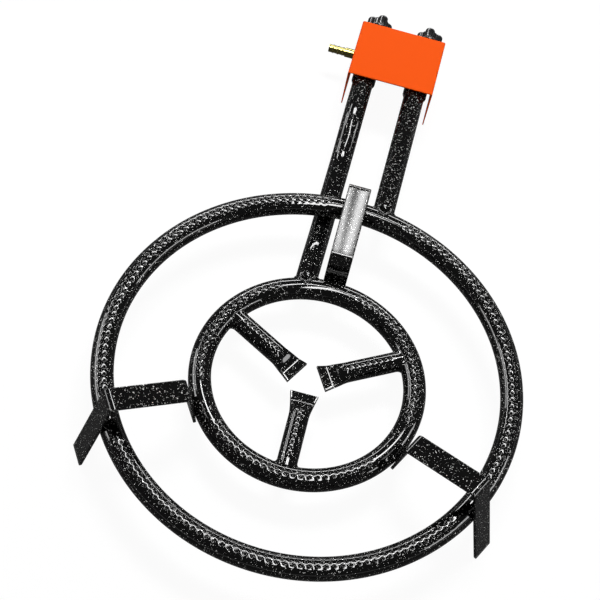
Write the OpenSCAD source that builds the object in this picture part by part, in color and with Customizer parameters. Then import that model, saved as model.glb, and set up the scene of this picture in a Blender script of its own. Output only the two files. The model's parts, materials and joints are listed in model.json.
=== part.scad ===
// Two-ring gas burner for paella pans, standing on its three pan supports.
// Millimetres, +Z up. The origin is on the floor, under the middle of the rings.
// The feed tubes, taps and knobs lie towards +Y.

/* [Rings] */
// Height of the outer ring's tube axis above the floor
ring_height = 54; // [48:1:70]
// Outside diameter of the outer ring
outer_ring_d = 400; // [360:1:440]
// Outside diameter of the inner ring
inner_ring_d = 222; // [200:1:240]
// How far the inner ring's tube axis lies below the outer ring's
inner_ring_drop = 13.5; // [10:0.5:18]
// Outside diameter of the ring and feed tubes
tube_d = 21.3; // [19:0.1:23]
// Wall of the ring and feed tubes
tube_wall = 2; // [1.5:0.1:3]

/* [Flame ports] */
// Diameter of a flame port
port_d = 2; // [1.5:0.1:2.5]
// Distance from port to port along one row of a ring
port_pitch = 7; // [6:0.5:12]
// Tilt of each row of ring ports away from the top of the tube, degrees
port_tilt = 11; // [8:1:20]
// Bare length of ring on each side of a support or a feed tube
port_clear = 24; // [16:1:40]
// Distance from port to port along a finger
finger_port_pitch = 5.7; // [5:0.1:9]

/* [Fingers] */
// Outside diameter of a finger tube
finger_d = 19; // [16:0.5:20]
// Wall of a finger tube
finger_wall = 1.8; // [1.2:0.1:2.5]
// Distance of the finger ends from the ring axis
finger_gap = 13; // [12:0.5:20]
// Length of the flat lip at a finger's end
finger_lip = 8; // [5:0.5:12]
// Width of the flat lip
finger_lip_w = 27; // [22:0.5:28]
// Thickness of the flat lip
finger_lip_t = 4; // [3:0.5:6]
// Length over which a finger is pressed from round to flat
finger_press = 17; // [12:1:22]

/* [Supports] */
// Width of the flat bar
bar_w = 22; // [18:1:24]
// Thickness of the flat bar
bar_t = 3; // [2:0.5:4]
// Radius inside each bend of the bar
bar_bend = 2.5; // [2:0.5:4]
// Height of the pan above the floor
support_top = 96; // [90:1:110]
// Slope of the bar between the rings, degrees
strap_slope = 13.5; // [8:0.5:16]
// Angle of a leg from upright, degrees
leg_splay = 16; // [12:0.5:18]
// Angle from upright of the bar's short end at the inner ring, degrees
riser_lean = 8; // [4:0.5:12]
// Length of the short end below the point where it meets the inner ring
riser_tail = 6; // [3:0.5:8]
// Turn of the fingers off even thirds of the ring, degrees
finger_turn = 1; // [0:0.5:2]
// Turn of the rear support off its third of the ring, degrees
rear_turn = 0.25; // [0:0.25:2]
// Turn of the left support off its third of the ring, degrees
left_turn = 2; // [0:0.25:4]
// Turn of the right support off its third of the ring, degrees
right_turn = 3; // [0:0.25:4]
// Gap left for the weld between joined tubes and bars
weld_gap = 0.1; // [0.05:0.05:0.3]

/* [Feed tubes] */
// Distance between the axes of the two feed tubes
tube_spacing = 55; // [52:0.5:58]
// Distance of the tubes' tap end from the ring axis
tube_end = 358; // [345:1:380]
// Bend radius of the inner ring's feed tube, at its axis
tube_bend = 64; // [58:1:70]
// Straight length between the two halves of a double bend
bend_straight = 6; // [4:0.5:10]
// How much the tube's radius grows where it is bent
bend_swell = 0.2; // [0.1:0.1:0.6]
// Distance of the middle of the downward bend from the ring axis
dip_middle = 287; // [275:1:295]
// Distance of the middle of the upward bend from the ring axis
rise_middle = 149; // [145:1:152]
// Gap between the outer ring and the tube that passes under it
crossing_gap = 0.2; // [0.1:0.1:1]

/* [Air sleeves] */
// Length of a sleeve
sleeve_l = 21; // [18:0.5:26]
// Length of tube inside the sleeve
sleeve_overlap = 6; // [4:0.5:8]
// Wall of a sleeve
sleeve_wall = 1.6; // [1:0.1:2]
// Thickness of the sleeve's end wall
sleeve_end = 3; // [2:0.5:4]
// Diameter of the air holes
air_hole_d = 8; // [6:0.5:9]
// Clearance around parts that slide together
slide_clear = 0.05; // [0.02:0.01:0.1]

/* [Taps] */
// Diameter of a tap body
tap_d = 19; // [18:0.5:20]
// Length of a tap body behind its sleeve
tap_l = 40; // [38:0.5:46]
// Diameter of the tap's nose
nose_d = 14; // [12:0.5:15]
// Length of the tap's nose
nose_l = 7; // [5:0.5:8]
// Small diameter of the taper plug
plug_small_d = 9; // [8:0.5:9.5]
// Large diameter of the taper plug
plug_large_d = 12; // [11:0.5:12.5]
// Length of the taper plug
plug_l = 20; // [18:0.5:22]
// Gap at the plug's small end
plug_gap = 0.4; // [0.3:0.1:1]
// Diameter of the plug's small passage for a low flame
low_port_d = 1.2; // [0.8:0.1:2]
// Diameter of the gas passages
passage_d = 4; // [3:0.5:4.5]
// Diameter of a spindle
spindle_d = 6; // [5:0.5:6.5]
// Depth of the flats cut at both ends of a spindle
spindle_flat = 0.8; // [0.5:0.1:1]
// Length of spindle inside the plug
spindle_seat = 6; // [4:0.5:8]
// Length of spindle inside the knob's grip
spindle_grip = 9; // [7:0.5:10]
// Diameter of the spring cavity
spring_bore_d = 14; // [13.5:0.5:14.5]
// Depth of the spring cavity in the tap body
spring_seat = 3; // [2:0.5:4]
// Wire of the tap spring
spring_wire = 1; // [0.8:0.1:1.2]
// Turns of the tap spring
spring_turns = 3; // [2:0.5:4]
// Gap between the spring and the parts that turn
spring_clear = 0.4; // [0.3:0.1:0.6]
// Thickness of the flanges that join body and cover
flange_t = 3; // [2.5:0.5:4]
// Thickness of the body's ears behind the flange
ear_t = 5; // [4:0.5:8]
// Gap between a screw head and the cover's shoulder
screw_clear = 0.2; // [0.1:0.1:0.5]
// Diameter of the cover screws
screw_d = 3.5; // [3:0.5:4]
// Length of thread in the body's ears
screw_thread = 4; // [3:0.5:4]
// Diameter of a screw head
screw_head_d = 6.4; // [5.5:0.1:7]
// Height of a screw head
screw_head_h = 2.2; // [1.5:0.1:2.5]
// Radius of the screw ears
ear_r = 4; // [3.5:0.5:4]
// Diameter of the cover's shoulder behind the shield
shoulder_d = 17; // [16.5:0.5:18]
// Length of the cover's shoulder
shoulder_l = 3.3; // [3:0.1:5]
// Diameter of the threaded neck
neck_d = 12; // [10:0.5:12]
// Width across flats of the neck's nut
nut_af = 17; // [15:0.5:18]
// Thickness of the nut
nut_t = 3; // [2.5:0.5:4]
// Length of neck that stands out of the nut
neck_proud = 0.5; // [0.2:0.1:1]

/* [Injectors] */
// Width across flats of an injector
injector_af = 8; // [7:0.5:9]
// Length of the injector's hexagon
injector_hex_l = 3; // [2:0.5:4]
// Diameter of the injector's thread
injector_thread_d = 6; // [5:0.5:6.5]
// Length of the injector's thread
injector_thread_l = 6; // [5:0.5:7]
// Diameter of the injector's tip
injector_tip_d = 5; // [4:0.5:6]
// Length of the injector's tip
injector_tip_l = 4; // [3:0.5:6]
// Diameter of the gas jet
jet_d = 1; // [0.6:0.1:1.5]

/* [Gas inlet] */
// Outside diameter of the manifold pipe
manifold_d = 14; // [12:0.5:14.5]
// Bore of the manifold pipe
manifold_bore = 8; // [7:0.5:9]
// Gap between the hexagon at each end of the manifold and the shield's side
inlet_clear = 1; // [0.5:0.5:2]
// Distance of the manifold's axis below the taps
manifold_drop = 17; // [17:0.5:19]
// Diameter of the stub from a tap to the manifold
stub_d = 10; // [8:0.5:11]
// Diameter of the hose barb's collar in the shield
barb_collar_d = 11; // [10.5:0.5:12]
// Length of collar that stands out of the shield
barb_collar_l = 1.2; // [1:0.1:3]
// Diameter of the hose barb's neck
barb_d = 10; // [9:0.5:10]
// Length of the neck
barb_neck_l = 9; // [6:0.5:12]
// Diameter of the hose barb's ribs
barb_rib_d = 9.6; // [8.6:0.1:9.8]
// Diameter between the ribs
barb_waist_d = 8.2; // [7.5:0.1:8.4]
// Length of the ribbed part
barb_rib_l = 16; // [12:0.5:20]
// Length of waist between the neck and the first rib
barb_waist_l = 2; // [1:0.5:4]
// Number of ribs
barb_ribs = 3; // [2:1:5]
// Bore of the hose barb
barb_bore = 5; // [4:0.5:6]
// Width across flats of the barb's and the plug's hexagon
barb_af = 15; // [14:0.5:17]
// Length of the barb's hexagon
barb_hex_l = 4; // [3:0.5:4.5]
// Length of thread inside the manifold
inlet_thread_l = 8; // [6:0.5:10]
// Thickness of a sealing washer
washer_t = 0.8; // [0.5:0.1:1]
// Outside diameter of a sealing washer
washer_d = 13; // [12:0.5:14]

/* [Shield] */
// Gap between the taps' ears and the shield's sides
tap_side_clear = 3.9; // [3:0.1:8]
// Length of the shield's top
shield_depth = 73; // [70:0.5:80]
// Height of the shield's sides
shield_h = 51; // [45:0.5:54]
// Thickness of the sheet
shield_sheet = 1.2; // [0.8:0.1:1.4]
// Outside radius of the folds along the sides
shield_fold = 2; // [1.6:0.1:3]
// Height of the shield's top above the tap axes
shield_rise = 15; // [15:0.5:20]
// Height of the back that the taps hold
shield_back_h = 34; // [30:0.5:44]
// Width of the slots between the back and the sides
shield_slot = 1; // [0.5:0.5:3]
// Clearance around the necks and the barb in the shield
shield_clear = 0.5; // [0.3:0.1:1]

/* [Knobs] */
// Diameter of a knob's skirt
skirt_d = 27.5; // [26:0.5:30]
// Thickness of the skirt
skirt_t = 3; // [2:0.5:4]
// Length of the lobed grip
grip_l = 12.5; // [10:0.5:16]
// Diameter of the grip's middle
grip_d = 19; // [17:0.5:20]
// Diameter of a lobe
lobe_d = 10; // [8:0.2:10.2]
// Distance of the lobes from the knob's axis
lobe_at = 8.6; // [8:0.1:8.8]
// Number of lobes
lobes = 4; // [3:1:5]
// Angle of the left knob's lobes off upright, tap shut
left_lobe_turn = 14; // [-45:1:45]
// Angle of the right knob's lobes off upright, tap shut
right_lobe_turn = -8; // [-45:1:45]
// Depth of the lobes' chamfered front edge
grip_chamfer = 1.2; // [0.5:0.1:2]
// Gap between the knob and the shield
knob_gap = 1.8; // [1:0.1:3]
// Room around the nut inside the knob
knob_recess_clear = 1; // [0.6:0.1:1.5]

/* [Hidden] */
$fn = 64;

// How far every cut runs past what it cuts
overrun = 1;
// Sides of a rounded hull's own outline, of a drawn port and of a drawn ring
hull_sides = 32;
port_sides = 16;
ring_sides = 128;
// Full turn and the angle between the three supports
turn = 360;
third = turn / 3;
// Direction of the handle, seen from the ring axis
handle_angle = turn / 4;
// Share of a turn between two staggered rows of ports, in port steps
stagger_share = 1 / 2;

// Colours of the finished pieces
enamel_colour = [0.05, 0.05, 0.05];
shield_colour = [1, 0.38, 0.04];
brass_colour = [0.75, 0.6, 0.25];
steel_colour = [0.65, 0.66, 0.68];
knob_colour = [0.03, 0.03, 0.035];
washer_colour = [0.45, 0.12, 0.08];

// Ring tubes
tube_r = tube_d / 2;
bore_r = tube_r - tube_wall;
outer_r = outer_ring_d / 2 - tube_r;
inner_r = inner_ring_d / 2 - tube_r;
inner_height = ring_height - inner_ring_drop;
joint_r = tube_r + weld_gap;
support_turns = [rear_turn, left_turn, right_turn];
support_angles = [for (i = [0 : 2]) handle_angle + support_turns[i] + i * third];
finger_angles = [for (i = [0 : 2]) handle_angle / 3 + finger_turn + i * third];

// Feed tubes
tube_x = tube_spacing / 2;
outer_joint_y = sqrt(outer_r * outer_r - tube_x * tube_x);
inner_joint_y = sqrt(inner_r * inner_r - tube_x * tube_x);
dip = tube_d + crossing_gap;
rise = dip - inner_ring_drop;
dip_run = bend_run(bend_angle(dip));
rise_run = bend_run(bend_angle(rise));
dip_start = dip_middle + dip_run / 2;
rise_start = rise_middle + rise_run / 2;
feed_angle = atan2(outer_joint_y, tube_x);
entry_angle = atan2(inner_joint_y, -tube_x);

// Cover screws beside the shoulder, the shield around the taps and the manifold between its sides
screw_side = 45;
screw_at = (shoulder_d + screw_head_d) / 2 + screw_clear;
tap_reach = screw_at * cos(screw_side) + ear_r;
shield_w = tube_spacing + 2 * (tap_reach + tap_side_clear + shield_sheet);
manifold_l = shield_w - 2 * (shield_sheet + inlet_clear + barb_hex_l + washer_t);

// Places along the tap axis, from the ring axis
sleeve_start = tube_end - sleeve_overlap;
tap_start = sleeve_start + sleeve_l;
tap_back = tap_start + tap_l;
plug_back = tap_back - spring_seat;
port_y = plug_back - plug_l / 2;
cover_back = tap_back + flange_t + shoulder_l;
shield_back = cover_back + shield_sheet;
nut_back = shield_back + nut_t;
neck_back = nut_back + neck_proud;
knob_start = shield_back + knob_gap;
grip_start = knob_start + skirt_t;
spindle_start = plug_back - spindle_seat;
manifold_z = ring_height - manifold_drop;
spring_front = plug_back + spring_clear;
spring_back = tap_back + flange_t - spring_wire / 2;

// Supports: bend angles and the corners of the bar's upper face, in radius and height
bend_out = bar_bend + bar_t;
riser_turn = 90 - riser_lean - strap_slope;
leg_turn = 90 - leg_splay + strap_slope;
riser_set = bend_out * tan(riser_turn / 2);
leg_set = bend_out * tan(leg_turn / 2);
riser_way = [sin(riser_lean), cos(riser_lean)];
strap_way = [cos(strap_slope), sin(strap_slope)];
riser_out = [cos(riser_lean), -sin(riser_lean)];
strap_out = [-sin(strap_slope), cos(strap_slope)];
leg_way = [sin(leg_splay), -cos(leg_splay)];
leg_out = [cos(leg_splay), sin(leg_splay)];
riser_foot = [inner_r, inner_height] + joint_r * riser_out;
leg_side = [outer_r, ring_height] + (joint_r + bar_t) * leg_out;
corner_height = support_top + leg_set * sin(strap_slope) + bend_out * (cos(strap_slope) - 1);
leg_corner = [leg_side[0] - (corner_height - leg_side[1]) * tan(leg_splay), corner_height];
bar_span = leg_corner - riser_foot;
way_cross = crossed(riser_way, strap_way);
riser_l = crossed(bar_span, strap_way) / way_cross - riser_set;
riser_centre = riser_foot + riser_l * riser_way + bend_out * riser_out;
leg_centre = leg_corner - leg_set * strap_way - bend_out * strap_out;
leg_l = corner_height / cos(leg_splay) - leg_set + bar_t;

function crossed(a, b) = a[0] * b[1] - a[1] * b[0];

// Angle and length of a double bend that lowers a tube by a drop
function bend_angle(drop) = acos((2 * tube_bend - drop) / norm([2 * tube_bend, bend_straight]))
    - atan2(bend_straight, 2 * tube_bend);
function bend_run(angle) = 2 * tube_bend * sin(angle) + bend_straight * cos(angle);

// Smallest angle between two directions
function apart(a, b) = abs((a - b + turn + turn / 2) % turn - turn / 2);

// Number of ports in one row round a ring
function port_count(ring_r) = floor(2 * PI * ring_r / port_pitch);

// Directions of the ports in one row that stay clear of the given places
function port_angles(ring_r, places, shift) = let (
    count = port_count(ring_r),
    clear = turn * port_clear / (2 * PI * ring_r)
) [
    for (i = [0 : count - 1])
        let (angle = (i + shift) * turn / count)
            if (min([for (place = places) apart(angle, place)]) > clear) angle
];

// Points on the circle of a spring wire's section and along its turns
spring_sides = 6;
spring_rings = 16;
spring_r = (spindle_d + spring_bore_d) / 4;
spring_rise = spring_back - spring_front - spring_wire / 2;

// Turns the Z axis of the children to +Y, at a place beside the handle's middle
module along_handle(x, y, z = ring_height) {
    translate([x, y, z]) rotate([-90, 0, 0]) children();
}

// Ring tube as a solid of the given section radius
module ring_solid(ring_r, section_r) {
    rotate_extrude($fn = ring_sides) translate([ring_r, 0]) circle(section_r);
}

// Two staggered rows of port drills along the top of a ring. Each drill is turned about its own axis,
// so that its seam is out of the ring's plane of symmetry and the port's rim closes.
module ring_ports(ring_r, places) {
    for (row = [-1, 1])
        for (angle = port_angles(ring_r, places, row > 0 ? 0 : stagger_share))
            rotate([0, 0, angle]) translate([ring_r, 0, 0]) rotate([0, row * port_tilt, 0])
                translate([0, 0, bore_r - overrun]) rotate([0, 0, 90])
                    cylinder(d = port_d, h = tube_wall + 2 * overrun, $fn = port_sides);
}

module outer_ring() {
    color(enamel_colour) translate([0, 0, ring_height]) difference() {
        ring_solid(outer_r, tube_r);
        ring_solid(outer_r, bore_r);
        ring_ports(outer_r, concat(support_angles, [feed_angle]));
        along_handle(tube_x, outer_joint_y, 0) cylinder(r = bore_r - weld_gap, h = tube_d);
    }
}

module inner_ring() {
    color(enamel_colour) translate([0, 0, inner_height]) difference() {
        ring_solid(inner_r, tube_r);
        ring_solid(inner_r, bore_r);
        ring_ports(inner_r, concat(support_angles, [entry_angle]));
        along_handle(-tube_x, inner_joint_y, 0) cylinder(r = bore_r - weld_gap, h = tube_d);
        for (angle = finger_angles)
            rotate([0, 0, angle]) translate([inner_r, 0, 0]) rotate([0, -90, 0])
                cylinder(d = finger_d - 2 * finger_wall, h = tube_d);
    }
}

// Burner finger along +X, from the inner ring towards the ring axis
module finger(angle) {
    flat_start = finger_gap + finger_lip;
    round_end = flat_start + finger_press;
    port_first = flat_start + finger_press / 2;
    port_last = inner_r - tube_r - finger_port_pitch;
    color(enamel_colour) translate([0, 0, inner_height]) rotate([0, 0, angle]) difference() {
        union() {
            translate([round_end, 0, 0]) rotate([0, 90, 0]) cylinder(d = finger_d, h = inner_r - round_end);
            hull() {
                translate([round_end, 0, 0]) rotate([0, 90, 0])
                    cylinder(d = finger_d, h = finger_wall, $fn = hull_sides);
                translate([flat_start, -finger_lip_w / 2, -finger_lip_t / 2])
                    cube([finger_wall, finger_lip_w, finger_lip_t]);
            }
            translate([finger_gap, -finger_lip_w / 2, -finger_lip_t / 2])
                cube([finger_lip + finger_wall, finger_lip_w, finger_lip_t]);
        }
        ring_solid(inner_r, joint_r);
        translate([port_first, 0, 0]) rotate([0, 90, 0])
            cylinder(d = finger_lip_t, h = finger_press);
        translate([round_end, 0, 0]) rotate([0, 90, 0])
            cylinder(d = finger_d - 2 * finger_wall, h = inner_r);
        for (x = [port_first + finger_port_pitch : finger_port_pitch : port_last])
            translate([x, 0, 0]) cylinder(d = port_d, h = finger_d, $fn = port_sides);
    }
}

module finger_right() {
    finger(finger_angles[0]);
}

module finger_left() {
    finger(finger_angles[1]);
}

module finger_front() {
    finger(finger_angles[2]);
}

// Block under the bent bar, for the bend radius of its upper or lower face, wider by an extra
module under_bar(bend, width, extra) {
    tail = riser_foot + (bend_out - bend) * riser_out - (riser_tail + extra) * riser_way;
    rotate([90, 0, 0]) translate([0, 0, -width / 2]) {
        linear_extrude(width) polygon([
            tail + bar_w * riser_out,
            tail,
            riser_centre - bend * riser_out,
            riser_centre,
            riser_centre + bend * strap_out,
            leg_centre + bend * strap_out,
            leg_centre,
            leg_centre + bend * leg_out,
            leg_centre + bend * leg_out + (leg_l + extra) * leg_way
        ]);
        for (centre = [riser_centre, leg_centre])
            translate([centre[0], centre[1], 0]) cylinder(r = bend, h = width);
    }
}

// Pan support and leg bent from one flat bar, cut level at the floor
module support(angle) {
    color(enamel_colour) rotate([0, 0, angle]) difference() {
        under_bar(bend_out, bar_w, 0);
        under_bar(bar_bend, bar_w + 2 * overrun, ring_height);
        translate([outer_r, -bar_w, -bar_w]) cube([2 * bar_w, 2 * bar_w, bar_w]);
    }
}

module rear_support() {
    support(support_angles[0]);
}

module left_support() {
    support(support_angles[1]);
}

module right_support() {
    support(support_angles[2]);
}

module outer_feed_tube() {
    color(enamel_colour) difference() {
        along_handle(tube_x, outer_joint_y) cylinder(r = tube_r, h = tube_end - outer_joint_y);
        along_handle(tube_x, outer_joint_y - overrun)
            cylinder(r = bore_r, h = tube_end - outer_joint_y + 2 * overrun);
        translate([0, 0, ring_height]) ring_solid(outer_r, joint_r);
    }
}

// Tube arc that starts at the origin towards -Y and turns down, with the next length at its end
module tube_arc(section_r, angle) {
    translate([0, 0, -tube_bend]) {
        rotate([0, -90, 180]) rotate_extrude(angle = angle)
            translate([tube_bend, 0]) circle(section_r + bend_swell);
        rotate([angle, 0, 0]) translate([0, 0, tube_bend]) children();
    }
}

// Straight tube from the origin towards -Y that runs into the bends at both ends
module tube_run(section_r, length) {
    translate([0, overrun, 0]) rotate([90, 0, 0]) cylinder(r = section_r, h = length + 2 * overrun);
    translate([0, -length, 0]) children();
}

// Two equal bends that lower a tube running towards -Y by the given drop
module double_bend(section_r, drop) {
    angle = bend_angle(drop);
    tube_arc(section_r, angle) tube_run(section_r, bend_straight)
        mirror([0, 0, 1]) tube_arc(section_r, angle);
}

// The bent feed tube as a solid of the given section radius, longer at both ends by an extra
module bent_tube(section_r, extra) {
    low = ring_height - dip;
    dip_stop = dip_start - dip_run;
    rise_stop = rise_start - rise_run;
    along_handle(-tube_x, dip_start - overrun)
        cylinder(r = section_r, h = tube_end - dip_start + overrun + extra);
    translate([-tube_x, dip_start, ring_height]) double_bend(section_r, dip);
    translate([-tube_x, dip_stop, low]) tube_run(section_r, dip_stop - rise_start);
    translate([-tube_x, rise_start, low]) mirror([0, 0, 1]) double_bend(section_r, rise);
    along_handle(-tube_x, inner_joint_y - extra, inner_height)
        cylinder(r = section_r, h = rise_stop - inner_joint_y + overrun + extra);
}

module inner_feed_tube() {
    color(enamel_colour) difference() {
        bent_tube(tube_r, 0);
        bent_tube(bore_r, overrun);
        translate([0, 0, inner_height]) ring_solid(inner_r, joint_r);
    }
}

// Sleeve with air holes over a feed tube's end, closed towards the tap
module tube_sleeve(x) {
    hole_at = sleeve_overlap + (sleeve_l - sleeve_overlap - sleeve_end) / 2;
    color(steel_colour) along_handle(x, sleeve_start) difference() {
        cylinder(r = tube_r + slide_clear + sleeve_wall, h = sleeve_l);
        translate([0, 0, -overrun]) cylinder(r = tube_r + slide_clear, h = sleeve_l - sleeve_end + overrun);
        cylinder(d = nose_d + 2 * slide_clear, h = sleeve_l + overrun);
        for (side = [0, 90])
            translate([0, 0, hole_at]) rotate([0, 90, side])
                cylinder(d = air_hole_d, h = 2 * tube_d, center = true);
    }
}

module outer_tube_sleeve() {
    tube_sleeve(tube_x);
}

module inner_tube_sleeve() {
    tube_sleeve(-tube_x);
}

// Two ears for the cover screws, set slantwise to clear the shield
module screw_ears(thickness) {
    ear_start = spring_bore_d / 2 + overrun;
    for (side = [screw_side, screw_side + turn / 2])
        rotate([0, 0, side]) translate([ear_start, -ear_r, 0])
            cube([screw_at - ear_start, 2 * ear_r, thickness]);
    at_screws() cylinder(r = ear_r, h = thickness);
}

module at_screws() {
    for (side = [screw_side, screw_side + turn / 2])
        rotate([0, 0, side]) translate([screw_at, 0, 0]) children();
}

module tap_body(x) {
    plug_start = plug_back - plug_l - tap_start;
    color(brass_colour) difference() {
        union() {
            along_handle(x, tap_start - nose_l) cylinder(d = nose_d, h = nose_l + overrun);
            along_handle(x, tap_start) cylinder(d = tap_d, h = tap_l);
            along_handle(x, tap_back - ear_t) screw_ears(ear_t);
            translate([x, port_y, manifold_z]) cylinder(d = stub_d, h = manifold_drop);
        }
        translate([x, port_y, manifold_z]) rotate([0, 90, 0])
            cylinder(r = manifold_d / 2 + weld_gap, h = tap_d + stub_d, center = true);
        along_handle(x, tap_start) translate([0, 0, plug_start])
            cylinder(d1 = plug_small_d + 2 * slide_clear, d2 = plug_large_d + 2 * slide_clear, h = plug_l);
        along_handle(x, tap_start) translate([0, 0, plug_start - plug_gap])
            cylinder(d = plug_small_d + 2 * slide_clear, h = plug_gap + overrun);
        along_handle(x, plug_back) cylinder(d = spring_bore_d, h = spring_seat + overrun);
        along_handle(x, tap_start) cylinder(d = passage_d, h = plug_start + overrun);
        along_handle(x, tap_start - nose_l - overrun)
            cylinder(d = injector_thread_d, h = injector_thread_l + overrun);
        along_handle(x, tap_start - nose_l) cylinder(d = passage_d, h = nose_l + overrun);
        translate([x, port_y, manifold_z]) cylinder(d = passage_d, h = manifold_drop);
        along_handle(x, tap_back - screw_thread) at_screws()
            cylinder(d = screw_d, h = screw_thread + overrun);
    }
}

module left_tap_body() {
    tap_body(-tube_x);
}

module right_tap_body() {
    tap_body(tube_x);
}

// Round hole or bar with a flat on one side, as at a spindle's ends
module flatted(length, clear) {
    difference() {
        cylinder(d = spindle_d + 2 * clear, h = length);
        translate([-spindle_d, spindle_d / 2 - spindle_flat + clear, -overrun])
            cube([2 * spindle_d, spindle_d, length + 2 * overrun]);
    }
}

// Taper plug, shut at rest: its cross passage lies level, a quarter turn from the inlet
module tap_plug(x) {
    color(brass_colour) along_handle(x, plug_back - plug_l) difference() {
        cylinder(d1 = plug_small_d, d2 = plug_large_d, h = plug_l);
        translate([0, 0, -overrun]) cylinder(d = passage_d, h = plug_l / 2 + overrun);
        translate([0, 0, plug_l / 2]) rotate([0, 90, 0]) cylinder(d = passage_d, h = plug_large_d);
        translate([0, 0, plug_l / 2]) rotate([90, 0, 0]) cylinder(d = low_port_d, h = plug_large_d);
        translate([0, 0, plug_l - spindle_seat]) flatted(spindle_seat + overrun, slide_clear);
    }
}

module left_tap_plug() {
    tap_plug(-tube_x);
}

module right_tap_plug() {
    tap_plug(tube_x);
}

module spindle(x) {
    round_start = spindle_seat;
    round_l = grip_start - plug_back;
    color(steel_colour) along_handle(x, spindle_start) {
        flatted(round_start, 0);
        translate([0, 0, round_start]) cylinder(d = spindle_d, h = round_l);
        translate([0, 0, round_start + round_l]) flatted(spindle_grip, 0);
    }
}

module left_spindle() {
    spindle(-tube_x);
}

module right_spindle() {
    spindle(tube_x);
}

// Spring: a round wire section carried along a helix, with flat triangle ends
module tap_spring(x) {
    steps = spring_turns * spring_rings;
    points = [
        for (i = [0 : steps], j = [0 : spring_sides - 1])
            let (
                angle = i * turn / spring_rings,
                side = j * turn / spring_sides,
                reach = spring_r + spring_wire / 2 * cos(side)
            )
                [reach * cos(angle), reach * sin(angle),
                    spring_wire / 2 * sin(side) + spring_rise * i / steps]
    ];
    walls = [
        for (i = [0 : steps - 1], j = [0 : spring_sides - 1])
            let (
                a = i * spring_sides + j,
                b = i * spring_sides + (j + 1) % spring_sides
            )
                each [[a, a + spring_sides, b], [b, a + spring_sides, b + spring_sides]]
    ];
    last = steps * spring_sides;
    ends = [
        for (j = [1 : spring_sides - 2])
            each [[0, j, j + 1], [last, last + j + 1, last + j]]
    ];
    color(steel_colour) along_handle(x, spring_front + spring_wire / 2)
        polyhedron(points = points, faces = concat(walls, ends));
}

module left_tap_spring() {
    tap_spring(-tube_x);
}

module right_tap_spring() {
    tap_spring(tube_x);
}

module tap_cover(x) {
    neck_l = neck_back - cover_back;
    color(brass_colour) along_handle(x, tap_back) difference() {
        union() {
            cylinder(d = tap_d, h = flange_t);
            screw_ears(flange_t);
            cylinder(d = shoulder_d, h = flange_t + shoulder_l);
            translate([0, 0, flange_t + shoulder_l - overrun]) cylinder(d = neck_d, h = neck_l + overrun);
        }
        translate([0, 0, -overrun]) cylinder(d = spring_bore_d, h = flange_t + overrun);
        cylinder(d = spindle_d + 2 * slide_clear, h = neck_back - tap_back + overrun);
        translate([0, 0, -overrun]) at_screws()
            cylinder(d = screw_d + 2 * slide_clear, h = flange_t + 2 * overrun);
    }
}

module left_tap_cover() {
    tap_cover(-tube_x);
}

module right_tap_cover() {
    tap_cover(tube_x);
}

// Four cover screws with slotted round heads
module cover_screws() {
    slot_share = 1 / 5;
    color(steel_colour)
        for (x = [-tube_x, tube_x])
            along_handle(x, tap_back - screw_thread) at_screws() difference() {
                union() {
                    cylinder(d = screw_d - 2 * slide_clear, h = screw_thread + flange_t + overrun);
                    translate([0, 0, screw_thread + flange_t]) cylinder(d = screw_head_d, h = screw_head_h);
                }
                translate([-screw_head_d, -screw_head_d * slot_share / 2, screw_thread + flange_t + overrun])
                    cube([2 * screw_head_d, screw_head_d * slot_share, screw_head_h]);
            }
}

// Six-sided prism of the given width across flats
module hexagon(across, height) {
    cylinder(d = across / cos(30), h = height, $fn = 6);
}

// Two nuts that clamp the shield's back on the tap necks
module panel_nuts() {
    color(steel_colour)
        for (x = [-tube_x, tube_x])
            along_handle(x, shield_back) difference() {
                hexagon(nut_af, nut_t);
                translate([0, 0, -overrun]) cylinder(d = neck_d + 2 * slide_clear, h = nut_t + 2 * overrun);
            }
}

module injector(x) {
    hex_start = tap_start - nose_l - injector_hex_l;
    color(brass_colour) difference() {
        union() {
            along_handle(x, hex_start) hexagon(injector_af, injector_hex_l);
            along_handle(x, hex_start) cylinder(d = injector_thread_d - 2 * slide_clear,
                h = injector_hex_l + injector_thread_l - overrun);
            along_handle(x, hex_start - injector_tip_l)
                cylinder(d1 = jet_d + injector_tip_d / 2, d2 = injector_tip_d, h = injector_tip_l + overrun);
        }
        along_handle(x, hex_start - injector_tip_l - overrun) cylinder(d = jet_d, h = tap_l);
        along_handle(x, hex_start) cylinder(d = passage_d, h = tap_l);
    }
}

module left_injector() {
    injector(-tube_x);
}

module right_injector() {
    injector(tube_x);
}

// Turns the Z axis of the children to -X at the manifold's left end, or to +X at its right end
module at_manifold_end(side) {
    translate([side * manifold_l / 2, port_y, manifold_z]) rotate([0, side * 90, 0]) children();
}

module gas_manifold() {
    color(brass_colour) difference() {
        at_manifold_end(-1) translate([0, 0, -manifold_l]) cylinder(d = manifold_d, h = manifold_l);
        at_manifold_end(-1) translate([0, 0, -manifold_l - overrun])
            cylinder(d = manifold_bore, h = manifold_l + 2 * overrun);
        for (x = [-tube_x, tube_x])
            translate([x, port_y, manifold_z]) cylinder(d = passage_d, h = manifold_d);
    }
}

// Flat sealing ring at an end of the manifold
module end_washer(side) {
    color(washer_colour) at_manifold_end(side) difference() {
        cylinder(d = washer_d, h = washer_t);
        translate([0, 0, -overrun]) cylinder(d = manifold_bore, h = washer_t + 2 * overrun);
    }
}

module plug_washer() {
    end_washer(1);
}

module barb_washer() {
    end_washer(-1);
}

module manifold_plug() {
    color(brass_colour) at_manifold_end(1) {
        translate([0, 0, washer_t]) hexagon(barb_af, barb_hex_l);
        translate([0, 0, -inlet_thread_l])
            cylinder(d = manifold_bore - 2 * slide_clear, h = inlet_thread_l + washer_t);
    }
}

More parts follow.
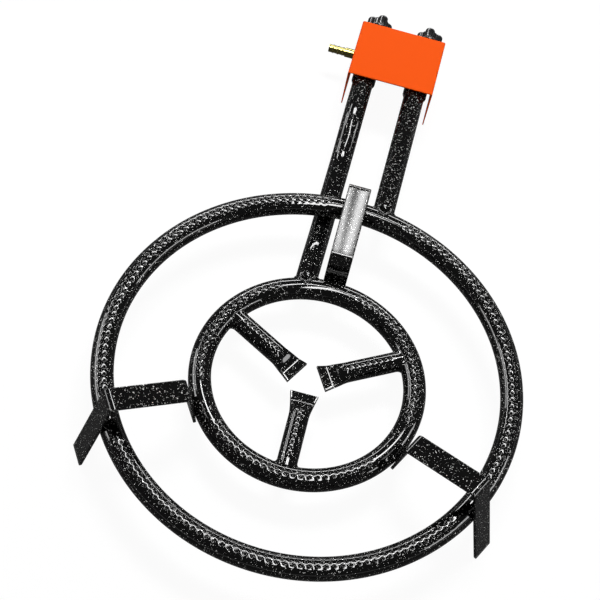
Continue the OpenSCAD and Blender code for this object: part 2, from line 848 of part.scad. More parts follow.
module hose_barb() {
    hex_end = washer_t + barb_hex_l;
    neck_start = (shield_w - manifold_l) / 2 + barb_collar_l;
    neck_end = neck_start + barb_neck_l;
    rib_start = neck_end + barb_waist_l;
    rib_step = barb_rib_l / barb_ribs;
    tip = rib_start + barb_rib_l;
    color(brass_colour) at_manifold_end(-1) difference() {
        union() {
            translate([0, 0, -inlet_thread_l])
                cylinder(d = manifold_bore - 2 * slide_clear, h = inlet_thread_l + washer_t);
            translate([0, 0, washer_t]) hexagon(barb_af, barb_hex_l);
            translate([0, 0, washer_t]) cylinder(d = barb_collar_d, h = neck_start - washer_t);
            translate([0, 0, washer_t]) cylinder(d = barb_d, h = neck_end - washer_t);
            translate([0, 0, washer_t]) cylinder(d = barb_waist_d, h = tip - washer_t);
            for (i = [0 : barb_ribs - 1])
                translate([0, 0, rib_start + i * rib_step])
                    cylinder(d1 = barb_rib_d, d2 = barb_bore, h = rib_step);
        }
        translate([0, 0, -inlet_thread_l - overrun])
            cylinder(d = barb_bore, h = inlet_thread_l + tip + 2 * overrun);
    }
}

// Outline with two round upper corners, standing on the X axis
module arch(width, height, corner) {
    translate([-width / 2, 0]) square([width, height - corner]);
    translate([corner - width / 2, 0]) square([width - 2 * corner, height]);
    for (side = [-1, 1])
        translate([side * (width / 2 - corner), height - corner]) circle(corner);
}

module shield() {
    top = ring_height + shield_rise;
    inside = shield_w - 2 * shield_sheet;
    color(shield_colour) difference() {
        union() {
            translate([0, shield_back, top - shield_h]) rotate([90, 0, 0]) linear_extrude(shield_depth)
                difference() {
                    arch(shield_w, shield_h, shield_fold);
                    translate([0, -overrun])
                        arch(inside, shield_h - shield_sheet + overrun, shield_fold - shield_sheet);
                }
            translate([shield_slot - inside / 2, shield_back - shield_sheet, top - shield_back_h])
                cube([inside - 2 * shield_slot, shield_sheet, shield_back_h - shield_sheet / 2]);
        }
        for (x = [-tube_x, tube_x])
            along_handle(x, shield_back - shield_sheet - overrun)
                cylinder(d = neck_d + 2 * shield_clear, h = shield_sheet + 2 * overrun);
        translate([-shield_w / 2 - overrun, port_y, manifold_z]) rotate([0, 90, 0])
            cylinder(d = barb_collar_d + 2 * shield_clear, h = shield_sheet + 2 * overrun);
    }
}

// Knob with a skirt, a lobed grip and a recess over the nut
module knob(x, lobe_turn) {
    recess_d = nut_af / cos(30) + 2 * knob_recess_clear;
    recess_l = nut_back + neck_proud + knob_recess_clear - knob_start;
    color(knob_colour) along_handle(x, knob_start) difference() {
        rotate([0, 0, lobe_turn]) union() {
            cylinder(d = skirt_d, h = skirt_t);
            cylinder(d = grip_d, h = skirt_t + grip_l);
            for (i = [0 : lobes - 1])
                rotate([0, 0, i * turn / lobes]) translate([0, -lobe_at, 0]) {
                    cylinder(d = lobe_d, h = skirt_t + grip_l - grip_chamfer);
                    translate([0, 0, skirt_t + grip_l - grip_chamfer])
                        cylinder(d1 = lobe_d, d2 = lobe_d - 2 * grip_chamfer, h = grip_chamfer);
                }
        }
        rotate([0, 0, lobe_turn]) translate([0, 0, -overrun]) cylinder(d = recess_d, h = recess_l + overrun);
        translate([0, 0, skirt_t]) flatted(spindle_grip + slide_clear, slide_clear);
        cylinder(d = spindle_d + 2 * slide_clear, h = skirt_t);
    }
}

module left_knob() {
    knob(-tube_x, left_lobe_turn);
}

module right_knob() {
    knob(tube_x, right_lobe_turn);
}

outer_ring();
inner_ring();
finger_right();
finger_left();
finger_front();
rear_support();
left_support();
right_support();
outer_feed_tube();
inner_feed_tube();
outer_tube_sleeve();
inner_tube_sleeve();
left_tap_body();
right_tap_body();
left_tap_plug();
right_tap_plug();
left_spindle();
right_spindle();
left_tap_spring();
right_tap_spring();
left_tap_cover();
right_tap_cover();
cover_screws();
panel_nuts();
left_injector();
right_injector();
gas_manifold();
manifold_plug();
plug_washer();
hose_barb();
barb_washer();
shield();
left_knob();
right_knob();
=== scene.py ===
import json
import math

import bpy
import numpy as np
from mathutils import Matrix, Vector


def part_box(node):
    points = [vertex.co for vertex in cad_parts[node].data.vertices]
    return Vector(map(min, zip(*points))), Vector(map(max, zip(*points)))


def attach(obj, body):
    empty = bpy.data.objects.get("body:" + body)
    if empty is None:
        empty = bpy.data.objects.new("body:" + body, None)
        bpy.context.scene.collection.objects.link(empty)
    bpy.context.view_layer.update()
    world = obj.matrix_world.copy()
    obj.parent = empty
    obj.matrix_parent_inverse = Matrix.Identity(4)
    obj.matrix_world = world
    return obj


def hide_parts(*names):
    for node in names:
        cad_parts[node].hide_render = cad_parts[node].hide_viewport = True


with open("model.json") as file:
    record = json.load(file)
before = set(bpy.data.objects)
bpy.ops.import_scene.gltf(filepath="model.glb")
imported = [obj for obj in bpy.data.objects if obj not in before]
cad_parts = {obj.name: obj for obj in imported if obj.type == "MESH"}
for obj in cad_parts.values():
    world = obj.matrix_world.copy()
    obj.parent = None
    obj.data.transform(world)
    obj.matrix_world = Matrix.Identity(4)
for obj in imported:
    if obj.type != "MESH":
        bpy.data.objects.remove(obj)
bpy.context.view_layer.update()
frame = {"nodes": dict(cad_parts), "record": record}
scene = bpy.context.scene
scene.view_settings.view_transform = "Standard"
mm = 0.001
print("frame loaded:", len(frame["nodes"]), "nodes")


# sizes read back from the solids, in mm
def nodeBox(node):
    low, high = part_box(node)
    return np.array(low) / mm, np.array(high) / mm


def ringSizes(node):
    low, high = nodeBox(node)
    tubeR = (high[2] - low[2]) / 2
    return {"r": (high[0] - low[0]) / 2 - tubeR, "tubeR": tubeR, "z": (high[2] + low[2]) / 2}


outer = ringSizes("outer_ring")
inner = ringSizes("inner_ring")
feedX = nodeBox("outer_feed_tube")[1][0] - outer["tubeR"]
tubeEnd = nodeBox("outer_feed_tube")[1][1]

# where the supports and fingers stand, in degrees: a third of a turn apart, plus each one's own turn
layout = {"support": 90.0, "supportTurns": (0.25, 2.0, 3.0), "finger": 30.0, "fingerTurns": (1.0, 1.0, 1.0)}
third = 120.0
supportAngles = [layout["support"] + third * k + turned for k, turned in enumerate(layout["supportTurns"])]
fingerAngles = [layout["finger"] + third * k + turned for k, turned in enumerate(layout["fingerTurns"])]


def smoothStep(x):
    x = np.clip(x, 0, 1)
    return x * x * (3 - 2 * x)


# Points in rows x columns become a skin. Columns always join round; rows join when ringed,
# and otherwise a fan closes each end. The signed volume tells which way the faces turn.
def skin(name, points, ringed=False):
    rows, cols = points.shape[:2]
    verts = points.reshape(-1, 3)
    i = np.arange(rows if ringed else rows - 1)[:, None]
    j = np.arange(cols)[None, :]
    nextRow, nextCol = (i + 1) % rows, (j + 1) % cols
    corners = i * cols + j, i * cols + nextCol, nextRow * cols + nextCol, nextRow * cols + j
    quads = np.stack(np.broadcast_arrays(*corners), -1).reshape(-1, 4)
    fans = np.zeros((0, 3), int)
    if not ringed:
        count, last, k = len(verts), (rows - 1) * cols, np.arange(cols)
        verts = np.vstack([verts, points[0].mean(0), points[-1].mean(0)])
        fans = np.vstack([np.stack([np.full(cols, count), (k + 1) % cols, k], -1),
                          np.stack([np.full(cols, count + 1), last + k, last + (k + 1) % cols], -1)])
    tris = np.vstack([quads[:, [0, 1, 2]], quads[:, [0, 2, 3]], fans])
    a, b, c = verts[tris[:, 0]], verts[tris[:, 1]], verts[tris[:, 2]]
    if np.einsum("ij,ij->i", a, np.cross(b, c)).sum() < 0:
        quads, fans = quads[:, ::-1], fans[:, ::-1]
    mesh = bpy.data.meshes.new(name)
    mesh.from_pydata((verts * mm).tolist(), [], quads.tolist() + fans.tolist())
    mesh.polygons.foreach_set("use_smooth", np.ones(len(mesh.polygons), bool))
    mesh.update()
    return mesh


# one finished piece: its mesh, material, body and the solids it stands for
def piece(name, points, material, replaced=(), body="burner", ringed=False):
    obj = bpy.data.objects.new(name, skin(name, points, ringed))
    scene.collection.objects.link(obj)
    obj.data.materials.append(material)
    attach(obj, body)
    if replaced:
        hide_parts(*replaced)
    return obj


# a section (columns x 2) carried along a path (rows x 3): each row's point plus the section in
# the path's side and up directions
def sweep(path, side, up, section):
    section = np.broadcast_to(section, (len(path),) + np.shape(section)[-2:])
    return path[:, None] + section[..., :1] * side[:, None] + section[..., 1:] * up[:, None]


def tangents(path, ringed=False):
    step = np.roll(path, -1, 0) - np.roll(path, 1, 0) if ringed else np.gradient(path, axis=0)
    return step / np.linalg.norm(step, axis=1, keepdims=True)


def circleSection(r, cols):
    turn = np.linspace(0, 2 * np.pi, cols, endpoint=False)
    return np.stack([r * np.cos(turn), r * np.sin(turn)], -1)


def turnZ(points, degrees):
    c, s = math.cos(math.radians(degrees)), math.sin(math.radians(degrees))
    return points @ np.array([[c, s, 0], [-s, c, 0], [0, 0, 1]])


def newMaterial(name):
    material = bpy.data.materials.new(name)
    material.use_nodes = True
    nodes = material.node_tree.nodes
    return material, nodes, material.node_tree.links, nodes["Principled BSDF"]


# each lot of specks: cells in a metre, the least number that gets a speck, the largest radius in cells
enamelLook = {"black": (0.003, 0.003, 0.003, 1), "speck": (0.78, 0.78, 0.76, 1), "roughness": 0.045,
              "shine": 0.36, "lots": ((560.0, 0.7, 0.4), (900.0, 0.62, 0.44)), "speckEdge": 0.08,
              "warpScale": 900, "warp": 0.0014, "peelScale": 500, "peel": 0.0015, "peelDepth": 0.001}


# black enamel: cells of two sizes, each with a speck of its own random radius
def enamelFinish():
    material, nodes, links, shader = newMaterial("speckled enamel")
    coords = nodes.new("ShaderNodeTexCoord")
    warp = nodes.new("ShaderNodeTexNoise")
    warp.inputs["Scale"].default_value = enamelLook["warpScale"]
    links.new(coords.outputs["Object"], warp.inputs["Vector"])
    shift = nodes.new("ShaderNodeVectorMath")
    shift.operation = "MULTIPLY_ADD"
    shift.inputs[1].default_value = (enamelLook["warp"],) * 3
    links.new(warp.outputs["Color"], shift.inputs[0])
    links.new(coords.outputs["Object"], shift.inputs[2])
    masks = []
    for scale, least, most in enamelLook["lots"]:
        cells = nodes.new("ShaderNodeTexVoronoi")
        cells.inputs["Scale"].default_value = scale
        links.new(shift.outputs[0], cells.inputs["Vector"])
        lot = nodes.new("ShaderNodeSeparateColor")
        links.new(cells.outputs["Color"], lot.inputs[0])
        radius = nodes.new("ShaderNodeMapRange")       # only cells with a high number get a speck
        radius.inputs["From Min"].default_value = least
        radius.inputs["To Max"].default_value = most
        links.new(lot.outputs[0], radius.inputs["Value"])
        edge = nodes.new("ShaderNodeMath")
        edge.operation = "SUBTRACT"
        links.new(radius.outputs[0], edge.inputs[0])
        links.new(cells.outputs["Distance"], edge.inputs[1])
        mask = nodes.new("ShaderNodeMapRange")
        mask.inputs["From Max"].default_value = enamelLook["speckEdge"]
        links.new(edge.outputs[0], mask.inputs["Value"])
        masks.append(mask)
    both = nodes.new("ShaderNodeMath")
    both.operation = "MAXIMUM"
    links.new(masks[0].outputs[0], both.inputs[0])
    links.new(masks[1].outputs[0], both.inputs[1])
    mix = nodes.new("ShaderNodeMix")
    mix.data_type = "RGBA"
    mix.inputs["A"].default_value = enamelLook["black"]
    mix.inputs["B"].default_value = enamelLook["speck"]
    links.new(both.outputs[0], mix.inputs["Factor"])
    links.new(mix.outputs["Result"], shader.inputs["Base Color"])
    peel = nodes.new("ShaderNodeTexNoise")
    peel.inputs["Scale"].default_value = enamelLook["peelScale"]
    links.new(coords.outputs["Object"], peel.inputs["Vector"])
    bump = nodes.new("ShaderNodeBump")
    bump.inputs["Strength"].default_value = enamelLook["peel"]
    bump.inputs["Distance"].default_value = enamelLook["peelDepth"]
    links.new(peel.outputs["Fac"], bump.inputs["Height"])
    links.new(bump.outputs[0], shader.inputs["Normal"])
    shader.inputs["Roughness"].default_value = enamelLook["roughness"]
    shader.inputs["Specular IOR Level"].default_value = enamelLook["shine"]
    return material


plainLooks = {
    "orange_paint": {"color": (1.0, 0.1, 0.0005, 1), "roughness": 0.5, "metallic": 0, "shine": 0.03},
    "brass": {"color": (0.24, 0.21, 0.07, 1), "roughness": 0.12, "metallic": 1, "shine": 0.5},
    "steel": {"color": (0.56, 0.57, 0.58, 1), "roughness": 0.3, "metallic": 1, "shine": 0.5},
    "fibre": {"color": (0.13, 0.02, 0.012, 1), "roughness": 0.8, "metallic": 0, "shine": 0.5},
    "knob_plastic": {"color": (0.006, 0.006, 0.007, 1), "roughness": 0.18, "metallic": 0, "shine": 0.5},
}
grainLook = {"scale": 700, "strength": 0.03, "depth": 0.001}


# one colour with a fine grain
def plainFinish(name, look):
    material, nodes, links, shader = newMaterial(name)
    coords = nodes.new("ShaderNodeTexCoord")
    grain = nodes.new("ShaderNodeTexNoise")
    grain.inputs["Scale"].default_value = grainLook["scale"]
    links.new(coords.outputs["Object"], grain.inputs["Vector"])
    bump = nodes.new("ShaderNodeBump")
    bump.inputs["Strength"].default_value = grainLook["strength"]
    bump.inputs["Distance"].default_value = grainLook["depth"]
    links.new(grain.outputs["Fac"], bump.inputs["Height"])
    links.new(bump.outputs[0], shader.inputs["Normal"])
    shader.inputs["Base Color"].default_value = look["color"]
    shader.inputs["Roughness"].default_value = look["roughness"]
    shader.inputs["Metallic"].default_value = look["metallic"]
    shader.inputs["Specular IOR Level"].default_value = look["shine"]
    return material


enamel = enamelFinish()
finishes = {name: plainFinish(name, look) for name, look in plainLooks.items()}
finishes["enamel"] = enamel
slotOf = {part["node"]: part["material_slot"] for part in frame["record"]["subparts"]}
for nodeName, node in frame["nodes"].items():
    node.data.materials.clear()
    node.data.materials.append(finishes[slotOf[nodeName]])
print("finishes made:", len(finishes))


portLook = {"pitch": 7.0, "tilt": 11.0, "clear": 24.0, "r": 1.0, "depth": 1.8, "rimFrom": 0.7,
            "rimWide": 0.75, "dish": 0.32, "dishR": 3.0, "stepMm": 0.7, "fineHalf": 27.0, "fineCols": 24,
            "coarseCols": 26}
farAway = 99.0                                             # given to the lower half, which has no ports


# section angles from the top of a tube, close together where the ports are
def sectionAngles(look):
    fine = np.linspace(-look["fineHalf"], look["fineHalf"], look["fineCols"])
    rest = np.linspace(look["fineHalf"], 360 - look["fineHalf"], look["coarseCols"] + 2)[1:-1]
    return np.concatenate([fine, rest])


# how far the skin sinks at a distance from a port's middle: a round-edged hole in a shallow dish
def portSink(distance, look):
    hole = 1 - smoothStep((distance - look["r"] * look["rimFrom"]) / (look["r"] * look["rimWide"]))
    return look["depth"] * hole + look["dish"] * np.exp(-(distance / look["dishR"]) ** 2)


# torus whose tube radius is lessened by the sink of two staggered rows of ports
def ringSkin(ring, places, look):
    count = int(2 * math.pi * ring["r"] // look["pitch"])
    rows = int(2 * math.pi * ring["r"] / look["stepMm"])
    around = np.linspace(0, 360, rows, endpoint=False)[:, None]
    section = sectionAngles(look)[None, :]
    clear = math.degrees(look["clear"] / ring["r"])
    sink = np.zeros((rows, section.shape[1]))
    for row, shift in ((-1, 0.5), (1, 0.0)):
        step = 360 / count
        middle = (np.round(around / step - shift) + shift) * step
        gap = np.abs((middle - np.array(places)[None, :] + 180) % 360 - 180).min(1, keepdims=True)
        rowR = ring["r"] + row * ring["tubeR"] * math.sin(math.radians(look["tilt"]))
        along = np.radians(around - middle) * rowR
        across = np.radians(section - row * look["tilt"]) * ring["tubeR"]
        across = np.where(np.abs(section) > 90, farAway, across)
        sink = np.maximum(sink, portSink(np.hypot(along, across), look) * (gap > clear))
    tubeR = ring["tubeR"] - sink
    angle = np.radians(section)
    reach = ring["r"] + tubeR * np.sin(angle)
    turn = np.radians(around)
    return np.stack([reach * np.cos(turn), reach * np.sin(turn), ring["z"] + tubeR * np.cos(angle)], -1)


feedAngle = math.degrees(math.atan2(math.sqrt(outer["r"] ** 2 - feedX ** 2), feedX))
entryAngle = math.degrees(math.atan2(math.sqrt(inner["r"] ** 2 - feedX ** 2), -feedX))
outerSkin = ringSkin(outer, supportAngles + [feedAngle], portLook)
innerSkin = ringSkin(inner, supportAngles + [entryAngle], portLook)
piece("outerRing", outerSkin, enamel, ["outer_ring"], ringed=True)
piece("innerRing", innerSkin, enamel, ["inner_ring"], ringed=True)
print("rings made")


fingerLook = {"r": 9.5, "gap": 13.0, "lip": 8.0, "press": 17.0, "lipHalfW": 13.5, "lipHalfT": 2.0,
              "square": 20.0, "flare": 1.5, "pitch": 5.7, "stepMm": 0.7, "into": 4.0, "droop": 2.0,
              "fillet": 5.0, "tip": 0.6, "tipRows": (0, 0.2, 0.5, 1, 1.05), "tipBlunt": 0.16, "leastT": 1.0,
              "coarseCols": 70}


# superellipse sections that go from a flat lip near the middle to a round tube, with one row of ports;
# at the root the width grows along a hollow quarter circle, which starts later where the ring curves away
def fingerSkin(look, ports):
    start, root = look["gap"], inner["r"] - inner["tubeR"] + look["into"]
    flat = start + look["lip"]
    tip = look["tip"]
    tipRows = start + tip * np.array(look["tipRows"])                          # flat right up to the tip
    x = np.concatenate([tipRows, np.arange(start + 2 * tip, root, look["stepMm"])])[:, None]
    opened = smoothStep((x - flat) / look["press"])
    endRound = np.sqrt(np.clip(1 - (np.clip(1 - (x - start) / tip, 0, 1)) ** 2, look["tipBlunt"], 1))
    flare = 1 - (1 - np.clip((x - start) / (look["lip"] + look["press"]), 0, 1)) ** look["flare"]
    halfW = look["lipHalfW"] + (look["r"] - look["lipHalfW"]) * flare - (1 - endRound) * tip
    halfT = (look["lipHalfT"] + (look["r"] - look["lipHalfT"]) * opened) * endRound
    power = 2 / look["square"] + (1 - 2 / look["square"]) * opened
    section = sectionAngles(ports)[None, :]
    angle = np.radians(section)
    s, c = np.sin(angle), np.cos(angle)
    z = halfT * np.sign(c) * np.abs(c) ** power
    wall = inner["r"] - np.sqrt(np.maximum(inner["tubeR"] ** 2 - z ** 2, 0))
    rise = np.clip(x - wall + look["fillet"], 0, look["fillet"])
    widen = look["fillet"] - np.sqrt(look["fillet"] ** 2 - rise ** 2)
    y = (halfW + widen) * np.sign(s) * np.abs(s) ** power
    first = flat + look["press"] / 2 + look["pitch"]
    count = math.floor((inner["r"] - inner["tubeR"] - look["pitch"] - first) / look["pitch"])
    near = first + np.clip(np.round((x - first) / look["pitch"]), 0, count) * look["pitch"]
    distance = np.where(np.abs(section) > 90, farAway, np.hypot(x - near, y + 0 * x))
    shrink = 1 - portSink(distance, ports) / np.maximum(halfT, look["leastT"])
    middleZ = inner["z"] - look["droop"] * (1 - opened)
    return np.stack(np.broadcast_arrays(x + 0 * y, y * shrink, middleZ + z * shrink), -1)


fingerNodes = ["finger_right", "finger_left", "finger_front"]
fingerPorts = dict(portLook, coarseCols=fingerLook["coarseCols"])
for name, degrees, node in zip(["fingerRight", "fingerLeft", "fingerFront"], fingerAngles, fingerNodes):
    piece(name, turnZ(fingerSkin(fingerLook, fingerPorts), degrees), enamel, [node])
print("fingers made")


barLook = {"w": 22.0, "t": 3.0, "bend": 2.5, "edge": 0.8, "top": 96.0, "slope": 13.5, "splay": 16.0,
           "lean": 8.0, "tail": 6.0, "gap": 0.1, "riserRows": 12, "bendRows": 13, "strapRows": 28,
           "legRows": 24, "nearBend": 0.004, "nearCorner": 0.01, "cornerCols": 5, "sideCols": 6}


def way(degrees):
    return np.array([math.cos(math.radians(degrees)), math.sin(math.radians(degrees))])


# middle line of the bent bar in radius and height: two straight runs, an arc at each bend and a leg,
# set so that the short end touches the inner ring and the leg touches the outer ring
def barPath(look):
    riser, strap, leg = 90 - look["lean"], look["slope"], look["splay"] - 90
    bendOut, mid = look["bend"] + look["t"], look["bend"] + look["t"] / 2
    foot = np.array([inner["r"], inner["z"]]) + (inner["tubeR"] + look["gap"]) * way(-look["lean"])
    legOff = outer["tubeR"] + look["gap"] + look["t"]
    side = np.array([outer["r"], outer["z"]]) + legOff * way(look["splay"])
    setRiser = bendOut * math.tan(math.radians(riser - strap) / 2)
    setLeg = bendOut * math.tan(math.radians(strap - leg) / 2)
    topZ = look["top"] + setLeg * way(strap)[1] + bendOut * (way(strap)[0] - 1)
    corner = np.array([side[0] - (topZ - side[1]) * math.tan(math.radians(look["splay"])), topZ])
    lengths = np.linalg.solve(np.stack([way(riser), way(strap)], 1), corner - foot)
    riserCentre = foot + (lengths[0] - setRiser) * way(riser) + bendOut * way(riser - 90)
    legCentre = corner - setLeg * way(strap) - bendOut * way(strap + 90)
    bends = []
    for centre, fromDeg, toDeg in ((riserCentre, riser, strap), (legCentre, strap, leg)):
        turns = np.radians(np.linspace(fromDeg + 90, toDeg + 90, look["bendRows"]))
        bends.append(centre + mid * np.stack([np.cos(turns), np.sin(turns)], -1))
    start = foot + look["t"] / 2 * way(riser - 90) - look["tail"] * way(riser)
    end = bends[1][-1] + (bends[1][-1][1] / -way(leg)[1]) * way(leg)
    near = look["nearBend"]                                # keeps the strap flat right up to the bends
    shares = np.clip(np.linspace(0, 1, look["strapRows"]), near, 1 - near)[:, None]
    riserRun = np.linspace(start, bends[0][0], look["riserRows"])[:-1]
    strapRun = bends[0][-1] + shares * (bends[1][0] - bends[0][-1])
    legRun = np.linspace(bends[1][-1], end, look["legRows"])[1:]
    headings = [np.full(len(riserRun), riser), np.linspace(riser, strap, look["bendRows"]),
                np.full(len(strapRun), strap), np.linspace(strap, leg, look["bendRows"]),
                np.full(len(legRun), leg)]
    return np.vstack([riserRun, bends[0], strapRun, bends[1], legRun]), np.concatenate(headings)


# rectangle with round corners, as side and up offsets
def barSection(look):
    w, t, r = look["w"] / 2 - look["edge"], look["t"] / 2 - look["edge"], look["edge"]
    points = []
    for k, (sx, sy) in enumerate(((1, 1), (-1, 1), (-1, -1), (1, -1))):
        turns = np.radians(np.linspace(90 * k, 90 * k + 90, look["cornerCols"]))
        points.append(np.array([sx * w, sy * t]) + r * np.stack([np.cos(turns), np.sin(turns)], -1))
    joined, near = [], look["nearCorner"]                  # keeps the sides flat right up to the corners
    shares = np.clip(np.linspace(0, 1, look["sideCols"]), near, 1 - near)[:, None]
    for k in range(4):
        follow = points[(k + 1) % 4][0]
        joined += [points[k], points[k][-1] + shares * (follow - points[k][-1])]
    return np.vstack(joined)


# the section carried along the bar's middle line; the last row is moved along the leg to the floor
def barSkin(look):
    path, heading = barPath(look)
    turn = np.radians(heading)
    zero = np.zeros_like(turn)
    up = np.stack([-np.sin(turn), zero, np.cos(turn)], -1)
    side = np.broadcast_to(np.array([0.0, 1.0, 0.0]), up.shape)
    points = sweep(np.stack([path[:, 0], zero, path[:, 1]], -1), side, up, barSection(look))
    legWay = np.array([way(heading[-1])[0], 0, way(heading[-1])[1]])
    points[-1] -= (points[-1, :, 2] / legWay[2])[:, None] * legWay
    return points


supportNodes = ["rear_support", "left_support", "right_support"]
for name, degrees, node in zip(["rearSupport", "leftSupport", "rightSupport"], supportAngles, supportNodes):
    piece(name, turnZ(barSkin(barLook), degrees), enamel, [node])
print("supports made")


feedLook = {"bend": 64.0, "straight": 6.0, "dipMiddle": 287.0, "riseMiddle": 149.0, "gap": 0.2, "into": 4.0,
            "cols": 56, "bendRows": 14, "tapRows": 8, "lowRows": 20, "rootRows": 5, "outerRows": 24}


# two equal arcs with a short straight between them that lower a tube towards -Y
def doubleBend(y, z, drop, look):
    rho, mid = look["bend"], look["straight"]
    angle = math.acos((2 * rho - abs(drop)) / math.hypot(2 * rho, mid)) - math.atan2(mid, 2 * rho)
    turn = np.linspace(0, angle, look["bendRows"])
    first = np.stack([-rho * np.sin(turn), -rho * (1 - np.cos(turn))], -1)
    span = np.array([-2 * rho * math.sin(angle) - mid * math.cos(angle), -abs(drop)])
    both = np.vstack([first, span - first[::-1]])
    both[:, 1] *= np.sign(drop)
    return both + np.array([y, z]), -span[0]


# middle line of the inner feed tube in y and height: down under the outer ring, then up to the inner one
def feedPath(look):
    dip = outer["tubeR"] * 2 + look["gap"]
    rise = dip - (outer["z"] - inner["z"])
    low = outer["z"] - dip
    length = doubleBend(0, 0, dip, look)[1]
    down = doubleBend(look["dipMiddle"] + length / 2, outer["z"], dip, look)[0]
    length = doubleBend(0, 0, rise, look)[1]
    up = doubleBend(look["riseMiddle"] + length / 2, low, -rise, look)[0]
    root = math.sqrt(inner["r"] ** 2 - feedX ** 2) + inner["tubeR"] - look["into"]
    tapRun = np.linspace([tubeEnd, outer["z"]], down[0], look["tapRows"])[:-1]
    lowRun = np.linspace(down[-1], up[0], look["lowRows"])[1:-1]
    rootRun = np.linspace(up[-1], [root, inner["z"]], look["rootRows"])[1:]
    return np.vstack([tapRun, down, lowRun, up, rootRun])


def feedSkin(yz, x, r):
    path = np.stack([np.full(len(yz), x), yz[:, 0], yz[:, 1]], -1)
    side = np.broadcast_to(np.array([1.0, 0.0, 0.0]), path.shape)
    return sweep(path, side, np.cross(tangents(path), side), circleSection(r, feedLook["cols"]))


innerPath = feedPath(feedLook)
outerRoot = math.sqrt(outer["r"] ** 2 - feedX ** 2) + outer["tubeR"] - feedLook["into"]
outerPath = np.linspace([tubeEnd, outer["z"]], [outerRoot, outer["z"]], feedLook["outerRows"])
piece("innerFeedTube", feedSkin(innerPath, -feedX, outer["tubeR"]), enamel, ["inner_feed_tube"])
piece("outerFeedTube", feedSkin(outerPath, feedX, outer["tubeR"]), enamel, ["outer_feed_tube"])
print("feed tubes made")


weldLook = {"r": 1.7, "wave": 0.22, "waves": 15, "swells": 3, "swellFrom": 1.0, "rows": 120, "cols": 14}


# bead round the line where a straight tube meets a ring: a small circle, waving in size, carried along it
def weldSkin(line, centre, look):
    along = tangents(line, True)
    out = line - centre
    out -= (out * along).sum(1, keepdims=True) * along
    out /= np.linalg.norm(out, axis=1, keepdims=True)
    turn = np.linspace(0, 2 * np.pi, len(line), endpoint=False)
    swell = np.sin(look["swells"] * turn + look["swellFrom"])
    size = look["r"] * (1 + look["wave"] * np.sin(look["waves"] * turn) * swell)
    section = circleSection(1, look["cols"])[None] * size[:, None, None]
    return sweep(line, out, np.cross(along, out), section)


# line where a tube along Y meets the outside of a ring, and the tube's middle beside each point of it
def feedWeld(x, ring, r):
    turn = np.linspace(0, 2 * np.pi, weldLook["rows"], endpoint=False)
    px, pz = x + r * np.cos(turn), r * np.sin(turn)
    reach = ring["r"] + np.sqrt(np.maximum(ring["tubeR"] ** 2 - pz ** 2, 0))
    py = np.sqrt(reach ** 2 - px ** 2)
    return np.stack([px, py, ring["z"] + pz], -1), np.stack([0 * px + x, py, 0 * px + ring["z"]], -1)


outerWeld = weldSkin(*feedWeld(feedX, outer, outer["tubeR"]), weldLook)
innerWeld = weldSkin(*feedWeld(-feedX, inner, outer["tubeR"]), weldLook)
piece("outerFeedWeld", outerWeld, enamel, ringed=True)
piece("innerFeedWeld", innerWeld, enamel, ringed=True)
print("welds made")


knobLook = {"skirtT": 3.0, "lobes": 4, "lobeR": 5.0, "lobeAt": 8.6, "coreR": 9.3, "soft": 0.35,
            "foot": 0.5, "skirtEdge": 1.2, "fillet": 0.7, "gripFrom": 4.0, "gripTo": 2.0, "gripEdge": 1.6,
            "endRings": (0.7, 0.2), "edgeRows": 6, "cols": 160,
            "turns": {"left_knob": 14.0, "right_knob": -8.0}}


# outline of the grip: the larger of a core circle and equal lobe circles, eased together where they meet
def gripOutline(look, lobeTurn):
    turn = np.linspace(0, 2 * np.pi, look["cols"], endpoint=False)
    share = 2 * np.pi / look["lobes"]
    off = (turn - math.radians(lobeTurn) + share / 2) % share - share / 2
    bow = np.sqrt(np.maximum(look["lobeR"] ** 2 - (look["lobeAt"] * np.sin(off)) ** 2, 0))
    reach = look["lobeAt"] * np.cos(off) + bow
    return turn, look["soft"] * np.logaddexp(look["coreR"] / look["soft"], reach / look["soft"])


# rows of (outline, distance along the axis): a round-edged skirt, a fillet, the grip and its round end
def knobSkin(node, look):
    low, high = nodeBox(node)
    middle, skirtR, length = (low + high) / 2, (high[0] - low[0]) / 2, high[1] - low[1]
    turn, grip = gripOutline(look, look["turns"][node])
    skirt = np.full_like(grip, skirtR)
    quarter = np.radians(np.linspace(0, 90, look["edgeRows"]))
    skirtEdge, gripEdge, fillet, skirtT = look["skirtEdge"], look["gripEdge"], look["fillet"], look["skirtT"]
    rows = [(skirt - look["foot"], 0.0), (skirt, look["foot"])]
    rows += [(skirt - skirtEdge * (1 - math.cos(a)), skirtT - skirtEdge * (1 - math.sin(a))) for a in quarter]
    rows += [(grip + fillet * (1 - math.sin(a)), skirtT + fillet * (1 - math.cos(a))) for a in quarter]
    rows += [(grip, skirtT + look["gripFrom"]), (grip, length - gripEdge - look["gripTo"])]
    rows += [(grip - gripEdge * (1 - math.cos(a)), length - gripEdge * (1 - math.sin(a))) for a in quarter]
    rows += [(look["endRings"][0] * (grip - gripEdge), length), (look["endRings"][1] * grip, length)]
    reach = np.array([r for r, along in rows])
    along = np.array([along for r, along in rows])[:, None] + 0 * reach
    across, up = middle[0] + reach * np.sin(turn), outer["z"] + reach * np.cos(turn)
    return np.stack([across, low[1] + along, up], -1)


for name, node, body in (("leftKnob", "left_knob", "left_tap"), ("rightKnob", "right_knob", "right_tap")):
    piece(name, knobSkin(node, knobLook), finishes["knob_plastic"], [node], body)
print("knobs made")


